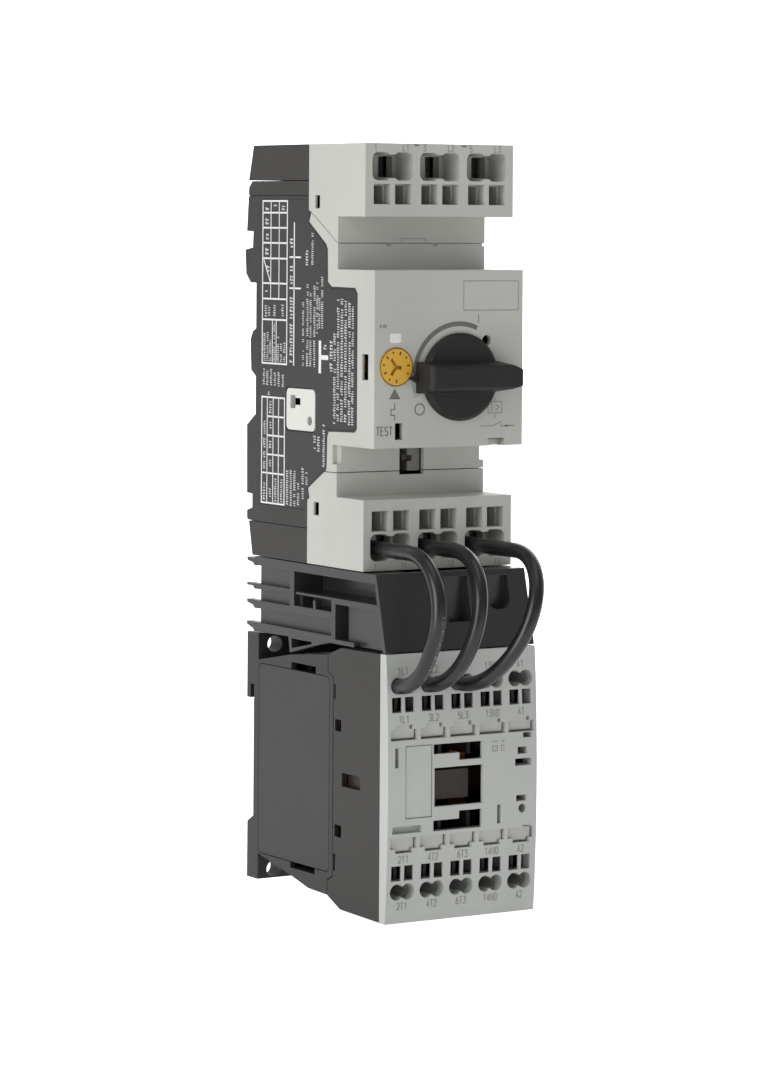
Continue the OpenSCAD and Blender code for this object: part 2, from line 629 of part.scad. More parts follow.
// Bend of a link round a centre in the (depth, height) plane, from angle a to angle b
module turn(d, z, r, a, b) {
  translate([0, -d, z]) rotate([90, 0, -90]) rotate([0, 0, a])
    rotate_extrude(angle = b - a) translate([r, 0]) circle(r = wire_r - 0.03);
}
module link_wire_1() {
  color([0.12, 0.12, 0.13]) link(0, 69.8, 15, 28, 15);
}
module link_wire_2() {
  color([0.12, 0.12, 0.13]) link(1, 68.3, 16.8, 16, 16.8);
}
module link_wire_3() {
  color([0.12, 0.12, 0.13]) link(2, 74.5, 16.5, 22, 20.5);
}
module link_ferrules() {
  color([0.80, 0.50, 0.30]) for (i = [0:2]) {
    rod(pole_x[i] - entry_dx, link_z, core_r, [42.6, 45.9]);
    rod(con_x[i] - lobe_dx, con_z + con_entry_dz, core_r, [50, 56.9]);
  }
}

// ---- Contactor: housings ----

// Dark rear half with the fixing flanges and its own rail seat
function base_rear() = [[-3.6, -75.6], [-3.6, -93.1], [-1.8, -93.1], [-1.8, -89.4],
  [0.15, -89.4], [0.15, -93.4], [0, -93.4], [0, -124.4], [-3.1, -126.2], [-3.2, -141.0],
  [2.6, -141.0], [2.6, -134.0], [20.9, -137.6], [29.2, -139.4], [38.6, -139.7], [38.6, -135.8],
  [41.2, -134.4], [41.2, -83.4], [38.4, -81.9], [38.4, -77.7], [20, -79.5], [2.4, -82.6],
  [2.4, -75.6]];
module contactor_base() {
  color([0.29, 0.285, 0.275]) difference() {
    slab([-half_w, half_w]) outline(base_rear());
    block([-in_w, in_w], [4, 60], [-132.3, -84.6]);
    block([-18, 18], [20.5, 60], [-137.4, -80.0]);
    for (x = [-1, 1], z = [-1, 1]) rod(x * hole_dx / 2, con_z + 0.3 + z * hole_dz / 2, hole_r, [-20, 10]);
    mirror_x() slab([half_w - 1.2, 30]) outline(round_rect([2.7, 39.5], [-133.9, -83.3], 1.6));
    mirror_x() for (z = [[-83.6, -81.5], [-135.4, -133.8]]) block([17, 30], [19.8, 32.4], z);
    mirror_x() for (z = [[-84.0, -81.5], [-135.4, -133.4]]) block([17, in_w], [12, 32.4], z);
    // Pocket of the rail foot
    block([-7.3, 7.3], [-10, 2.4], [-132.4, -122.0]);
    block([-7.3, 7.3], [-10, 12], [-136.5, -133.2]);
  }
}
module side_plate() {
  color([0.33, 0.33, 0.335]) slab([half_w - 1.2, half_w])
    outline(round_rect([2.9, 39.3], [-133.7, -83.5], 1.5));
}
module side_plate_right() { side_plate(); }
module side_plate_left() { mirror([1, 0, 0]) side_plate(); }
// Spring foot that snaps behind the lower edge of a rail
module rail_foot() {
  color([0.74, 0.75, 0.77]) slab([-5.5, 5.5])
    outline(strip([[1.95, -131.7], [1.95, -125.5], [-1.8, -125.1], [-1.8, -122.3]], 0.6));
}

con_top = con_z + con_h / 2;
con_bottom = con_z - con_h / 2;
cover_back = 64.4;
house_d = cover_back - 0.1;
// Dark front half, which holds the contacts and the clamps
function house_side() = [[38.7, -77.6], [45.0, -75.4], [house_d, con_top - 0.1],
  [house_d, con_bottom + 0.1], [45.2, -142.5], [38.9, -139.8], [38.9, -136.0], [41.5, -134.6],
  [41.5, -83.3], [38.7, -81.8]];
module peanut(x, z, r) {
  translate([x - lobe_dx, z]) circle(r = r);
  translate([x + lobe_dx, z]) circle(r = r);
  translate([x - lobe_dx, z - 1.35]) square([2 * lobe_dx, 2.7]);
}
module con_entries(d, r) {
  for (x = con_x, s = [-1, 1]) punch(d) peanut(x, con_z + s * con_entry_dz, r);
}
module con_squares(d) {
  for (x = con_x, s = [-1, 1]) {
    z = con_z + s * con_square_dz;
    block([x - 3.45, x - 0.5], d, [z - 1.9, z + 1.9]);
    block([x + 0.4, x + 3.1], d, [z - 1.9, z + 1.9]);
  }
}
module contactor_housing() {
  color([0.30, 0.295, 0.285]) difference() {
    slab([-half_w, half_w]) outline(house_side());
    difference() {
      union() {
        block([-in_w, in_w], [30, 52], [-137.4, -80.2]);
        block([-in_w, in_w], [50, 80], [-126.0, -92.0]);
      }
      for (x = [-1.5, -0.5, 0.5, 1.5], z = [[-126.5, -116], [-102, -91.5]])
        block([x * con_pitch - 0.5, x * con_pitch + 0.5], [44.5, 64], z);
    }
    con_entries([51.9, 80], lobe_r);
    con_squares([51.9, 80]);
    for (w = [[41.7, 42.5, -88.9, -85.0], [42.3, 45.3, -96.9, -93.9], [45.8, 54.9, -110.8, -107.3],
      [42.2, 45.6, -124.1, -121.0], [41.7, 42.7, -132.9, -128.6]])
      mirror_x() block([in_w - 2, 30], [w[0], w[1]], [w[2], w[3]]);
  }
}

// Cover, with a front face that bulges slightly at mid height
function cover_side() =
  let (half = con_h / 2, r = (half * half + con_crown * con_crown) / 2 / con_crown,
       c = [con_d + con_crown - r, con_z], a = asin(half / r))
  concat([[cover_back, con_bottom]], arc(c, r, -a, a, 14), [[cover_back, con_top]]);
// Recess of one marker tag: a bar with a tab towards the terminals
module tag_outline(x, s, gap_r, gap_b) {
  z = con_z + s * con_tag_dz;
  tab = s > 0 ? [z + 0.3, z + 1.75] : [z - 1.75, z - 0.3];
  bar = s > 0 ? [z - 2.1, z + 0.6] : [z - 0.6, z + 2.1];
  translate([x - 3.9, bar[0] + (s > 0 ? gap_b : 0)])
    square([7.8 - gap_r, bar[1] - bar[0] - (s > 0 ? gap_b : 0)]);
  translate([x - 2.4, tab[0] + (s > 0 ? 0 : gap_b)])
    square([5.1 - gap_r, tab[1] - tab[0] - (s > 0 ? 0 : gap_b)]);
}
module contactor_cover() {
  color([0.71, 0.72, 0.70]) difference() {
    slab([-half_w, half_w]) outline(cover_side());
    con_entries([60, 80], lobe_r);
    con_squares([60, 80]);
    // The front wall is thin round the release slots
    for (z = [con_z - con_square_dz, con_z + con_square_dz])
      block([-in_w, in_w], [60, con_d + 0.2], [z - 2.1, z + 2.1]);
    for (x = con_x, s = [-1, 1]) punch([con_d - 1.2, 80]) tag_outline(x, s, 0, 0);
    // Windows in a thin front wall: the middle one shows the contact carrier, the others take
    // add-on hooks
    block([-9.2, 10.0], [50, con_d + 0.3], [-120.6, -98.0]);
    block([-8.7, 5.9], [50, 80], [-114.1, -104.3]);
    block([-8.9, -1.1], [50, 80], [-100.8, -98.3]);
    block([-1.2, 5.7], [50, 80], [-102.7, -98.3]);
    block([-8.9, -1.1], [50, 80], [-120.3, -117.6]);
    block([-1.2, 5.7], [50, 80], [-120.3, -115.6]);
    block([16.6, 19.4], [60, 80], [-102.4, -100.6]);
    block([15.8, 20.8], [60, 80], [-105.4, -103.6]);
    block([16.2, 19.3], [60, 80], [-114.5, -113.0]);
    rod(18.1, -116.4, 1.15, [60, 80]);
    block([10.4, 11.5], [con_d - 0.6, 80], [-119.8, -115.0]);
    block([-20.4, -19.3], [con_d - 0.6, 80], [-103.5, -98.6]);
    block([-21.1, -12.4], [con_d - 0.6, 80], [-120.2, -118.4]);
    block([18.3, 20.8], [60, 80], [-98.3, -97.0]);
    block([18.3, 20.8], [60, 80], [-122.0, -120.9]);
    // Bed of the nameplate
    block([-17.3, -9.3], [con_d + 0.7, 80], [-116.6, -98.2]);
  }
}
module marker_tags() {
  color([0.76, 0.77, 0.75]) for (x = con_x, s = [-1, 1])
    punch([con_d - 1.15, con_d + (con_crown - 0.35) * 0.8 - 0.6]) intersection() {
      tag_outline(x, s, 0.45, 0.45);
      translate([x - 3.85, con_z - 30]) square([8, 60]);
    }
}
module nameplate() {
  color([0.74, 0.75, 0.73]) block([-17.1, -9.5], [con_d + 0.75, con_d + 1.05], [-116.4, -98.4]);
}

// ---- Contactor: moving system ----

module contact_carrier() {
  color([0.30, 0.20, 0.15]) difference() {
    union() {
      block([-20.6, 20.2], [36.4, 58.0], [-112.0, -106.0]);
      block([-19.0, 19.0], [36.4, 39.0], [-118.5, -99.5]);
      // Nose that shows the switching state in the cover's middle window
      block([-7.6, 3.4], [57.9, 65.4], [-112.8, -105.4]);
    }
    for (i = [0:3]) block([con_x[i] - (i == 0 ? 2.5 : 3.3), con_x[i] + 3.3], [49.4, 56.4], [-130, -90]);
  }
}
module contactor_bridges() {
  color([0.80, 0.50, 0.30]) for (i = [0:3]) {
    block([con_x[i] - 2.35, con_x[i] + 2.6], [50.2, 51.4], [-118.3, -99.7]);
    for (s = [-1, 1]) rod(con_x[i], con_z + s * 8.2, 1.3, [49.4, 50.3]);
  }
}
module contactor_springs() {
  color([0.75, 0.75, 0.76]) for (i = [0:3]) spring_d(con_x[i], con_z, [51.45, 56.35], 1.9, 0.4, 4);
}
module armature() {
  color([0.60, 0.61, 0.63]) union() {
    block([-core_x, core_x], [31.0, 36.3], [con_z - 19.5, con_z + 19.5]);
    block([-core_x, core_x], [24.0, 31.1], [con_z - 4.2, con_z + 4.2]);
    for (s = [-1, 1]) block([-core_x, core_x], [24.0, 31.1], s > 0 ? [con_z + 15, con_z + 19.5]
      : [con_z - 19.5, con_z - 15]);
  }
}
module magnet_core() {
  color([0.60, 0.61, 0.63]) union() {
    block([-core_x, core_x], [5.0, 10.2], [con_z - 19.5, con_z + 19.5]);
    block([-core_x, core_x], [10.1, 20.0], [con_z - 4.2, con_z + 4.2]);
    for (s = [-1, 1]) difference() {
      block([-core_x, core_x], [10.1, 20.0], s > 0 ? [con_z + 15, con_z + 19.5] : [con_z - 19.5, con_z - 15]);
      ring_groove(s, 0.05);
    }
  }
}
module ring_groove(s, gap) {
  for (z = [16.2, 18.4]) block([-8, 8], [18.0 - gap, 21], s > 0
    ? [con_z + z - gap, con_z + z + 0.7 + gap] : [con_z - z - 0.7 - gap, con_z - z + gap]);
}
module shading_rings() {
  color([0.80, 0.50, 0.30]) for (s = [-1, 1]) difference() {
    block([-core_x - 1, core_x + 1], [18.0, 18.9], s > 0 ? [con_z + 16.2, con_z + 19.1]
      : [con_z - 19.1, con_z - 16.2]);
    block([-core_x - 0.1, core_x + 0.1], [0, 30], s > 0 ? [con_z + 16.9, con_z + 18.4]
      : [con_z - 18.4, con_z - 16.9]);
  }
}
module coil_bobbin() {
  color([0.86, 0.84, 0.78]) difference() {
    union() {
      block([-8.0, 8.0], [10.6, 27.0], [con_z - 6.2, con_z + 6.2]);
      block([-17, 17], [10.6, 12.0], [con_z - 14.4, con_z + 14.4]);
      block([-17, 17], [25.6, 27.0], [con_z - 14.4, con_z + 14.4]);
    }
    block([-6.6, 6.6], [0, 40], [con_z - 4.8, con_z + 4.8]);
  }
}
module coil_winding() {
  color([0.62, 0.30, 0.14]) punch([12.1, 25.5]) difference() {
    outline(round_rect([-16, 16], [con_z - 13.6, con_z + 13.6], 4));
    outline(round_rect([-8.15, 8.15], [con_z - 6.35, con_z + 6.35], 0.15));
  }
}
module return_springs() {
  color([0.75, 0.75, 0.76]) for (x = [-13, 13]) spring_d(x, con_z, [27.05, 36.35], 2.6, 0.6, 5);
}

// ---- Contactor: current paths ----

module fixed_row(s) {
  color([0.80, 0.50, 0.30]) for (i = [0:3]) {
    block([con_x[i] - 2.4, con_x[i] + 2.4], [44.0, 44.9], s > 0 ? [con_z + 6.9, con_z + 26.5]
      : [con_z - 26.5, con_z - 6.9]);
    rod(con_x[i], con_z + s * 8.2, 1.3, [44.8, 45.45]);
  }
}
module upper_contacts() { fixed_row(1); }
module lower_contacts() { fixed_row(-1); }
module coil_leads() {
  color([0.80, 0.50, 0.30]) for (s = [-1, 1]) slab([con_x[4] - 1.2, con_x[4] + 1.2])
    outline(strip([[44.4, con_z + s * 27.0], [44.4, con_z + s * 19.0], [34, con_z + s * 17.5],
      [34, con_z + s * 15.6], [22, con_z + s * 15.6]], 0.8));
}
// Spring leaves that hold the wires, one for each terminal
module contactor_clamps() {
  color([0.74, 0.75, 0.77]) for (x = con_x, s = [-1, 1]) slab([x - 3.0, x + 3.0])
    outline(strip([for (q = [[45.6, 22.0], [49.6, 22.6], [49.4, 27.4], [46.2, 24.6]])
      [q[0], con_z + s * q[1]]], 0.4));
}

switch_base();
line_terminal_back();
load_terminal_back();
switch_cover();
line_terminal_block();
load_terminal_block();
side_label();
side_port();
rotary_handle();
handle_shaft();
setting_dial();
dial_spindle();
test_slider();
rail_latch();
latch_spring();
mechanism_frame();
toggle_lever();
toggle_pin();
switch_carrier();
aux_actuator();
switch_bridges();
switch_contact_springs();
line_conductors();
coil_conductors();
load_conductors();
arc_plates();
trip_coils();
trip_plungers();
bimetal_strips();
heater_windings();
trip_bar();
line_clamps();
load_clamps();
connector_block();
link_wire_1();
link_wire_2();
link_wire_3();
link_ferrules();
contactor_base();
contactor_housing();
contactor_cover();
side_plate_left();
side_plate_right();
contact_carrier();
armature();
contactor_bridges();
contactor_springs();
magnet_core();
shading_rings();
coil_bobbin();
coil_winding();
return_springs();
upper_contacts();
lower_contacts();
coil_leads();
contactor_clamps();
marker_tags();
nameplate();
rail_foot();
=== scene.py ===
import json
import math

import bmesh
import bpy
from mathutils import Matrix, Vector


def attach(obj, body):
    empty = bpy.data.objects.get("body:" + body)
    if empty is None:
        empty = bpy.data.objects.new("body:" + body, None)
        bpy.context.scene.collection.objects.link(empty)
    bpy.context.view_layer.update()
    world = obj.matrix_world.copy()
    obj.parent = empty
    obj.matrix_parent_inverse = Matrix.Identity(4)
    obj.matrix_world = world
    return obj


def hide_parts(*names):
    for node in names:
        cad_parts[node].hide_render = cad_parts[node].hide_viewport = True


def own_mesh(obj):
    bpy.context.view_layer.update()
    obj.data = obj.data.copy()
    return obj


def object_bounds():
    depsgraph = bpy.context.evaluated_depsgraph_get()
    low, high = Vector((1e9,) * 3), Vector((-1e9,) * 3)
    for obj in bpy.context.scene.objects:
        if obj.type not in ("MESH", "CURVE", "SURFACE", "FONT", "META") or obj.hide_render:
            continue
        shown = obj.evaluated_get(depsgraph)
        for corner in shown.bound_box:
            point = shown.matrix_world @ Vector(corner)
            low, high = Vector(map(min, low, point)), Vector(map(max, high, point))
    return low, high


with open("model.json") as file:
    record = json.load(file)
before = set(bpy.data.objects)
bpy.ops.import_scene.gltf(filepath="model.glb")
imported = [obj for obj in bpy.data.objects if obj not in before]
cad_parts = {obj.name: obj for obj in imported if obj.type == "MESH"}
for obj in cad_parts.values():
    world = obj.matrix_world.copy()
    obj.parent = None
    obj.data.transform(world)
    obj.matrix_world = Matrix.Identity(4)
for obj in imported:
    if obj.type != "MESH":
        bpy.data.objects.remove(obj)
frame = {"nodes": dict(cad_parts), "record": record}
cad_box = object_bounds()
NODES = frame["nodes"]
MM = 0.001


# ---------------------------------------------------------------- materials

def srgb(r, g, b):
    """0-255 screen colour to the linear values a shader wants."""
    def one(v):
        v = v / 255
        return v / 12.92 if v <= 0.04045 else ((v + 0.055) / 1.055) ** 2.4
    return (one(r), one(g), one(b), 1.0)


def shade(colour, factor, lift=0.0):
    """The same colour made darker or lighter."""
    return tuple(min(c * factor + lift, 1) for c in colour[:3]) + (1,)


class Graph:
    """A material's node tree, with short calls for the nodes used below."""

    def __init__(self, name):
        self.mat = bpy.data.materials.new(name)
        self.mat.use_nodes = True
        self.tree = self.mat.node_tree
        self.bsdf = self.tree.nodes["Principled BSDF"]
        coord = self.node("ShaderNodeTexCoord")
        self.here = coord.outputs["Object"]

    def node(self, kind, **values):
        n = self.tree.nodes.new(kind)
        for key, value in values.items():
            setattr(n, key, value)
        return n

    def link(self, a, b):
        self.tree.links.new(a, b)

    def put(self, socket, value):
        """Links a node's output to the socket, or sets the socket's own value."""
        if isinstance(value, bpy.types.NodeSocket):
            self.link(value, socket)
        else:
            socket.default_value = value

    def stretch(self, scale):
        m = self.node("ShaderNodeMapping")
        self.link(self.here, m.inputs["Vector"])
        m.inputs["Scale"].default_value = scale
        return m.outputs["Vector"]

    def noise(self, scale, detail=2.0, rough=0.5, vector=None):
        n = self.node("ShaderNodeTexNoise")
        self.link(vector or self.here, n.inputs["Vector"])
        n.inputs["Scale"].default_value = scale
        n.inputs["Detail"].default_value = detail
        n.inputs["Roughness"].default_value = rough
        return n.outputs["Fac"]

    def bands(self, direction, scale, distortion):
        n = self.node("ShaderNodeTexWave", wave_type="BANDS", bands_direction=direction)
        self.link(self.here, n.inputs["Vector"])
        n.inputs["Scale"].default_value = scale
        n.inputs["Distortion"].default_value = distortion
        return n.outputs["Fac"]

    def ramp(self, fac, low, high, a=0.0, b=1.0):
        n = self.node("ShaderNodeMapRange")
        self.link(fac, n.inputs["Value"])
        for key, value in (("From Min", low), ("From Max", high), ("To Min", a), ("To Max", b)):
            n.inputs[key].default_value = value
        return n.outputs["Result"]

    def math(self, op, a, b=0.0):
        n = self.node("ShaderNodeMath", operation=op)
        self.put(n.inputs[0], a)
        self.put(n.inputs[1], b)
        return n.outputs[0]

    def mix(self, fac, a, b, mode="MIX"):
        n = self.node("ShaderNodeMix", data_type="RGBA", blend_type=mode)
        self.put(n.inputs["Factor"], fac)
        self.put(n.inputs["A"], a)
        self.put(n.inputs["B"], b)
        return n.outputs["Result"]

    def bump(self, height, distance, strength=1.0, normal=None):
        n = self.node("ShaderNodeBump")
        n.inputs["Strength"].default_value = strength
        n.inputs["Distance"].default_value = distance
        self.link(height, n.inputs["Height"])
        if normal is not None:
            self.link(normal, n.inputs["Normal"])
        return n.outputs["Normal"]

    def rounded(self, radius):
        n = self.node("ShaderNodeBevel", samples=4)
        n.inputs["Radius"].default_value = radius
        return n.outputs["Normal"]

    def edge_mask(self, normal):
        """1 on rounded edges, 0 on flat faces."""
        true = self.node("ShaderNodeNewGeometry").outputs["True Normal"]
        dot = self.node("ShaderNodeVectorMath", operation="DOT_PRODUCT")
        self.link(normal, dot.inputs[0])
        self.link(true, dot.inputs[1])
        return self.ramp(self.math("ABSOLUTE", dot.outputs["Value"]), 0.995, 0.80)

    def finish(self, colour, rough, metallic=0.0, normal=None, **more):
        self.put(self.bsdf.inputs["Base Color"], colour)
        self.put(self.bsdf.inputs["Roughness"], rough)
        self.bsdf.inputs["Metallic"].default_value = metallic
        if normal is not None:
            self.link(normal, self.bsdf.inputs["Normal"])
        for key, value in more.items():
            self.put(self.bsdf.inputs[key.replace("_", " ")], value)
        return self.mat


def plastic(name, colour, rough=0.45, grain=0.012, grain_scale=5500, edge=0.25, edge_highlight=1.18,
            radius=0.25, coat=0.0, spec=0.45):
    """Moulded plastic: fine spark-eroded grain, soft tone drift, rounded edges lightened as a painted
    highlight.
    """
    g = Graph(name)
    soft = g.rounded(radius * MM)
    rim = g.edge_mask(soft)
    drift = g.noise(28, 3)
    flow = g.noise(9, 2, vector=g.stretch((1, 1, 0.35)))
    fine = g.noise(grain_scale, 2, 0.6)
    speck = g.noise(grain_scale * 0.35, 3, 0.7)
    pale = shade(colour, 1.05)
    tone = g.mix(g.ramp(drift, 0.35, 0.65), shade(colour, 0.93), pale)
    tone = g.mix(g.ramp(flow, 0.3, 0.7, 0, 0.35), tone, colour)
    tone = g.mix(g.ramp(speck, 0.62, 0.78, 0, 0.06), tone, pale)
    # Painted highlight: the rounded edges are made lighter than the face colour.
    tone = g.mix(g.math("MULTIPLY", rim, edge), tone, shade(colour, edge_highlight, 0.004))
    gloss = g.math("ADD", g.ramp(speck, 0.3, 0.7, rough - 0.05, rough + 0.06),
                   g.math("MULTIPLY", rim, -0.06))
    normal = g.bump(fine, grain * MM, 0.55, soft)
    normal = g.bump(drift, 0.05 * MM, 0.25, normal)
    return g.finish(tone, gloss, normal=normal, Coat_Weight=coat, Coat_Roughness=0.2,
                    Specular_IOR_Level=spec)


def metal(name, colour, rough=0.32, brush=(1, 1, 40), grain=0.01, tarnish=0.2, tint=None, radius=0.12):
    """Sheet or turned metal: drawn streaks along one way, patches of dulling, soft edges lightened as a
    painted highlight.
    """
    g = Graph(name)
    soft = g.rounded(radius * MM)
    rim = g.edge_mask(soft)
    streak = g.noise(160, 4, 0.65, g.stretch(brush))
    patch = g.noise(70, 4, 0.6)
    fine = g.noise(3800, 2)
    dull = tint or shade(colour, 0.72)
    bright = shade(colour, 1.12)
    tone = g.mix(g.ramp(streak, 0.3, 0.7, 0, 0.5), colour, bright)
    tone = g.mix(g.ramp(patch, 0.45, 0.75, 0, tarnish), tone, dull)
    # Painted highlight: the rounded edges are mixed halfway to the bright tone.
    tone = g.mix(g.math("MULTIPLY", rim, 0.5), tone, bright)
    gloss = g.math("ADD", g.ramp(streak, 0.25, 0.75, rough - 0.1, rough + 0.1),
                   g.ramp(patch, 0.4, 0.8, 0, 0.12))
    normal = g.bump(streak, grain * MM, 0.5, soft)
    normal = g.bump(fine, 0.004 * MM, 0.5, normal)
    return g.finish(tone, gloss, 1.0, normal)


def laminated(name, colour):
    """Stack of thin punched sheets: fine lines across the stack."""
    g = Graph(name)
    soft = g.rounded(0.1 * MM)
    lines = g.bands("X", 320, 0.4)
    patch = g.noise(120, 4)
    tone = g.mix(g.ramp(lines, 0.1, 0.5), shade(colour, 0.45), colour)
    tone = g.mix(g.ramp(patch, 0.5, 0.8, 0, 0.35), tone, srgb(96, 84, 70))
    normal = g.bump(lines, 0.05 * MM, 0.8, soft)
    return g.finish(tone, g.ramp(patch, 0.3, 0.7, 0.3, 0.5), 0.9, normal)


def wound(name, colour, direction, pitch):
    """Enamelled wire laid side by side, with painted shade in the grooves between the turns."""
    g = Graph(name)
    lines = g.bands(direction, 0.314 / pitch, 0.25)
    patch = g.noise(200, 3)
    # Painted shade: the grooves between the turns are darkened.
    tone = g.mix(g.ramp(lines, 0.0, 0.6), shade(colour, 0.3), colour)
    tone = g.mix(g.ramp(patch, 0.4, 0.8, 0, 0.4), tone, shade(colour, 1.3))
    return g.finish(tone, 0.28, 0.55, g.bump(lines, 0.08 * MM, 0.9), Coat_Weight=0.6,
                    Coat_Roughness=0.15)


def jacket(name, colour):
    """Extruded cable insulation: glossy, with faint draw lines and handling marks."""
    g = Graph(name)
    haze = g.noise(60, 3, 0.5)
    fine = g.noise(2600, 3, 0.6)
    scuff = g.noise(500, 3, vector=g.stretch((3, 1, 0.3)))
    tone = g.mix(g.ramp(haze, 0.3, 0.75), colour, shade(colour, 1.5))
    tone = g.mix(g.ramp(scuff, 0.70, 0.85, 0, 0.12), tone, srgb(90, 90, 92))
    normal = g.bump(fine, 0.006 * MM, 0.4)
    gloss = g.math("ADD", g.ramp(haze, 0.3, 0.7, 0.26, 0.34), g.ramp(fine, 0.3, 0.7, 0, 0.05))
    return g.finish(tone, gloss, normal=normal, Coat_Weight=0.2, Coat_Roughness=0.12)


# In each moulding below, the edge factors set how strongly its rounded edges are lightened as a painted
# highlight.
LIGHT = plastic("light_grey_moulding", srgb(186, 187, 181), 0.50, edge_highlight=1.06)
COVER = plastic("cover_grey_moulding", srgb(187, 190, 186), 0.48, edge_highlight=1.06)
TAG = plastic("tag_grey_moulding", srgb(190, 192, 187), 0.42, grain=0.006, edge_highlight=1.05)
DARK = plastic("charcoal_moulding", srgb(46, 44, 42), 0.46, grain=0.02, grain_scale=4200,
               edge=0.45, edge_highlight=1.8)
PLATE = plastic("charcoal_plate", srgb(58, 58, 58), 0.55, grain=0.015, edge_highlight=1.35)
GLOSS = plastic("black_rib_moulding", srgb(50, 50, 50), 0.32, grain=0.005, edge=0.7, edge_highlight=2.1,
                coat=0.1)
HANDLE = plastic("black_handle_moulding", srgb(36, 35, 34), 0.50, grain=0.010, grain_scale=3800,
                 edge_highlight=1.7, spec=0.3)
FILM = plastic("black_label_film", srgb(40, 40, 40), 0.36, grain=0.004, grain_scale=2400, edge=0.1,
               edge_highlight=1.3)
PALE = plastic("pale_insert_moulding", srgb(214, 213, 208), 0.46, edge_highlight=1.05)
AMBER = plastic("amber_dial_moulding", srgb(220, 170, 52), 0.34, grain=0.006, edge_highlight=1.15, coat=0.2)
BROWN = plastic("brown_thermoset", srgb(46, 36, 31), 0.42, grain=0.02, grain_scale=3000, edge_highlight=1.4)
INNER = plastic("inner_grey_moulding", srgb(126, 123, 118), 0.46, edge_highlight=1.05)
NYLON = plastic("natural_nylon", srgb(222, 216, 200), 0.5, edge_highlight=1.05)
STEEL = metal("zinc_plated_sheet", srgb(188, 190, 194), 0.34)
SPRING = metal("bright_spring_steel", srgb(206, 208, 211), 0.22, brush=(1, 1, 60), tarnish=0.1)
CORE = laminated("laminated_core", srgb(150, 150, 152))
COPPER = metal("copper_strip", srgb(206, 138, 100), 0.28, brush=(1, 40, 1), tint=srgb(120, 72, 50))
BIMETAL = metal("bimetal_strip", srgb(178, 170, 146), 0.36, tint=srgb(120, 104, 84))
COIL = wound("main_coil_wire", srgb(168, 84, 40), "Y", 0.35 * MM)
TRIP = wound("trip_coil_wire", srgb(190, 112, 66), "Z", 0.9 * MM)
JACKET = jacket("glossy_black_insulation", srgb(21, 21, 23))

FINISH = {
    "light_plastic": LIGHT, "cover_plastic": COVER, "dark_plastic": DARK, "plate_plastic": PLATE,
    "black_plastic": GLOSS, "label_film": FILM, "pale_plastic": PALE, "dial_plastic": AMBER,
    "carrier_plastic": BROWN, "bobbin_plastic": NYLON, "steel": STEEL, "spring_steel": SPRING,
    "core_steel": CORE, "copper": COPPER, "winding": COIL, "bimetal": BIMETAL, "wire_jacket": JACKET,
}
OWN_FINISH = {"rotary_handle": HANDLE, "marker_tags": TAG, "nameplate": COVER, "trip_coils": TRIP,
              "test_slider": HANDLE, "rail_latch": HANDLE, "aux_actuator": INNER}

for part in frame["record"]["subparts"]:
    obj = NODES[part["node"]]
    finish = OWN_FINISH.get(part["node"], FINISH[part["material_slot"]])
    if not obj.material_slots:
        obj.data.materials.append(finish)
    for slot in obj.material_slots:
        slot.material = finish


def new_object(name, bm, finish):
    """Puts finished mesh data into the scene as an object with one material."""
    mesh = bpy.data.meshes.new(name)
    bm.to_mesh(mesh)
    bm.free()
    mesh.materials.append(finish)
    obj = bpy.data.objects.new(name, mesh)
    bpy.context.scene.collection.objects.link(obj)
    return obj


# ---------------------------------------------------------------- coil springs copied onto the housing

def sprung(node):
    """Puts a copy of a coil spring on the housing in place of the part."""
    coil = bpy.data.objects.new(node + "_coils", NODES[node].data.copy())
    bpy.context.scene.collection.objects.link(coil)
    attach(coil, "housing")
    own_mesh(coil)
    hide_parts(node)


sprung("latch_spring")
sprung("return_springs")


# ---------------------------------------------------------------- printed and engraved marks, and marks of painted shade

# All in mm. A depth is the distance in front of the rail seat.
HALF_W = 22.5           # half the housings' width
CAP = 60.6              # depth of the cap's face
TERMINAL = 55.7         # depth of the terminal faces
RECESS = 42.3           # depth of the recesses above and below the cap
HANDLE_AT = (3.0, -5.5)
DIAL_AT = (-16.1, -2.8)

# The contactor's front is an arc of this rise over twice CROWN_HALF, with its ends at CROWN_D
CROWN_RISE, CROWN_HALF, CROWN_Z, CROWN_D = 1.3, 34.0, -109.0, 67.2
CROWN_RADIUS = (CROWN_HALF ** 2 + CROWN_RISE ** 2) / 2 / CROWN_RISE
POLES = (-14.3, 0.0, 14.3)
CONTACTOR_POLES = (-17.7, -8.85, 0.0, 8.85, 17.7)
ENTRY_UP, ENTRY_DOWN = -83.0, -135.0    # heights of the contactor's wire entries


def flat_front(depth):
    return lambda u, v, rise: Vector((u, -(depth + rise), v)) * MM


def crowned_front(u, v, rise):
    sag = math.sqrt(CROWN_RADIUS ** 2 - (v - CROWN_Z) ** 2)
    depth = CROWN_D + CROWN_RISE - CROWN_RADIUS + sag
    return Vector((u, -(depth + rise), v)) * MM


def left_side(u, v, rise):
    return Vector((-(HALF_W + rise), -u, v)) * MM


